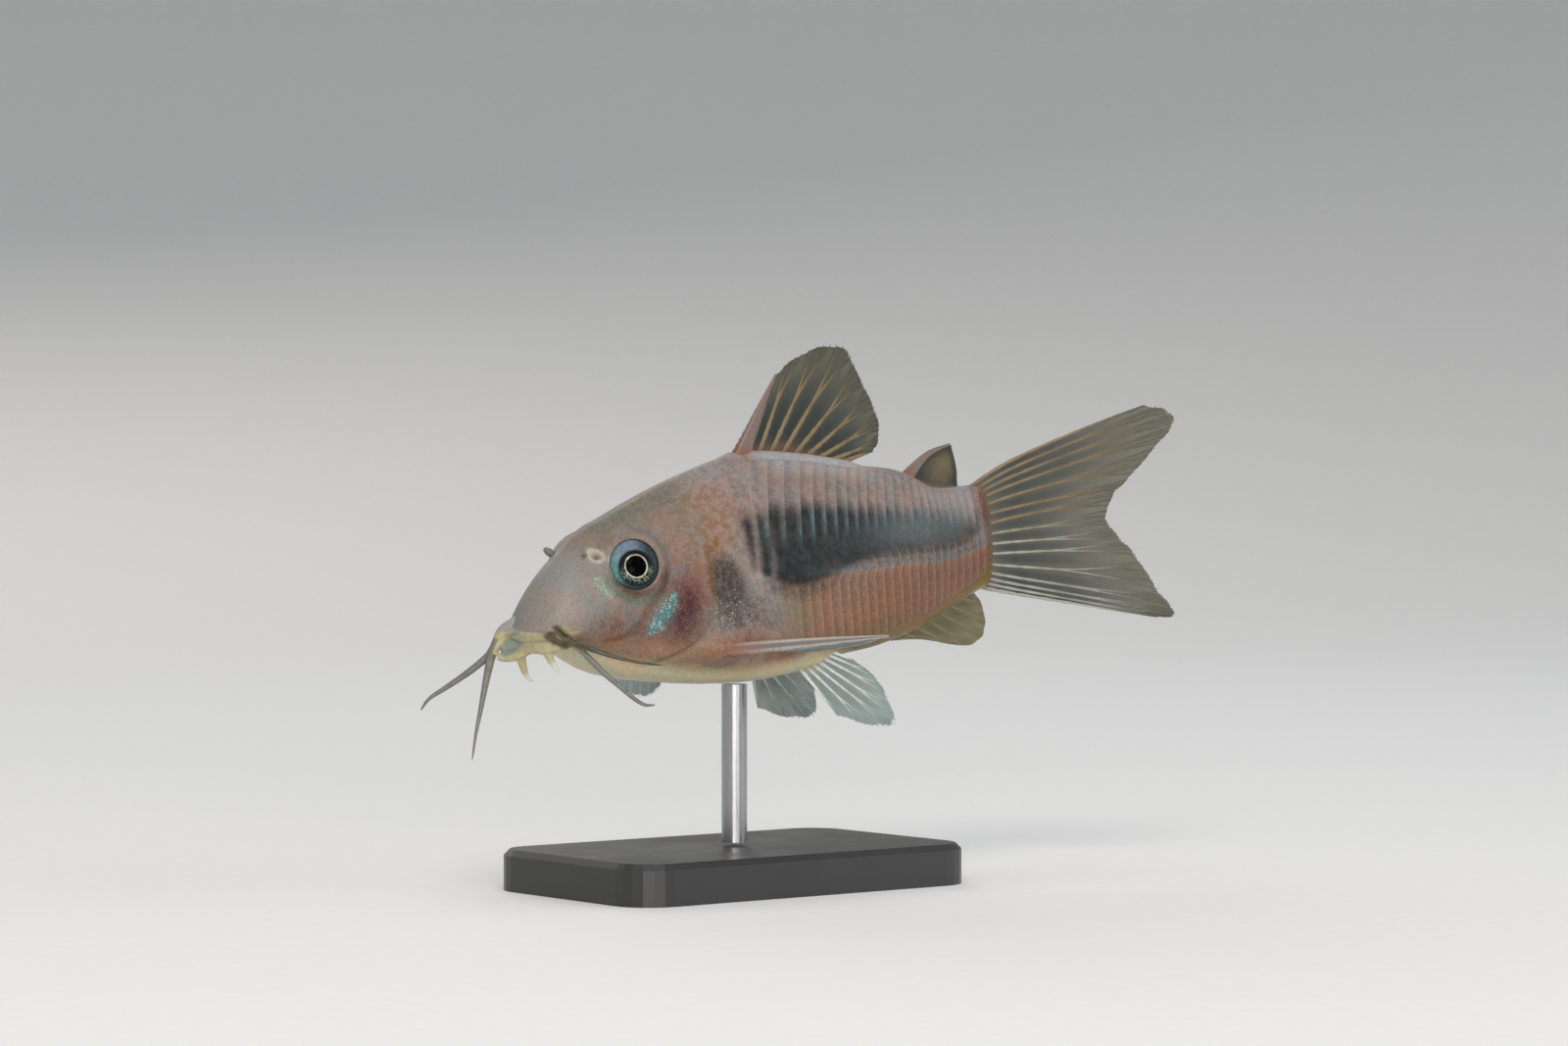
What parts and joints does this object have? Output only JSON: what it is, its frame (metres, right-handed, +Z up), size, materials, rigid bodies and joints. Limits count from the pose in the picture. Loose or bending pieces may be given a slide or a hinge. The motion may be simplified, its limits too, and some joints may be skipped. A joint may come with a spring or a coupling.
{
  "type": "corydoras catfish",
  "caption": "Life-size still model of a small armoured catfish swimming with barbels and fins spread, held by a rod above a flat display base.",
  "frame": {"origin": "middle of the underside of the stand's flat base", "axes": "+Z up, the head towards -X and the tail towards +X, the animal's left side towards -Y"},
  "size_m": [0.0751, 0.0369, 0.0464],
  "materials": {
    "skin": "moist bronze and pink skin over bony plates with a green-black flank band, satin",
    "lip": "soft cream lip skin, satin",
    "barbel_skin": "soft grey to cream barbel skin, satin",
    "eye": "wet dark eye with a thin silver ring round the pupil, glossy",
    "spine_bone": "bony fin spines, satin",
    "fin_web": "smoky brown see-through fin skin between branched rays",
    "pale_fin_web": "whitish see-through fin skin between branched rays",
    "stand_base": "dark grey satin lacquer on steel",
    "stand_rod": "brushed stainless steel"
  },
  "bodies": {
    "root": {"head": "skin", "trunk": "skin", "tail": "skin", "lower_lip": "lip", "eye_left": "eye", "eye_right": "eye", "dorsal_spine": "spine_bone", "adipose_spine": "spine_bone", "pectoral_spine_left": "spine_bone", "pectoral_spine_right": "spine_bone", "dorsal_fin": "fin_web", "adipose_fin": "fin_web", "anal_fin": "fin_web", "caudal_upper_lobe": "fin_web", "caudal_lower_lobe": "fin_web", "pectoral_fin_left": "pale_fin_web", "pectoral_fin_right": "pale_fin_web", "pelvic_fin_left": "pale_fin_web", "pelvic_fin_right": "pale_fin_web", "barbel_upper_left": "barbel_skin", "barbel_lower_left": "barbel_skin", "barbel_upper_right": "barbel_skin", "barbel_lower_right": "barbel_skin", "mental_barbel_left": "barbel_skin", "mental_barbel_right": "barbel_skin", "stand_base": "stand_base", "stand_rod": "stand_rod"}
  },
  "joints": []
}
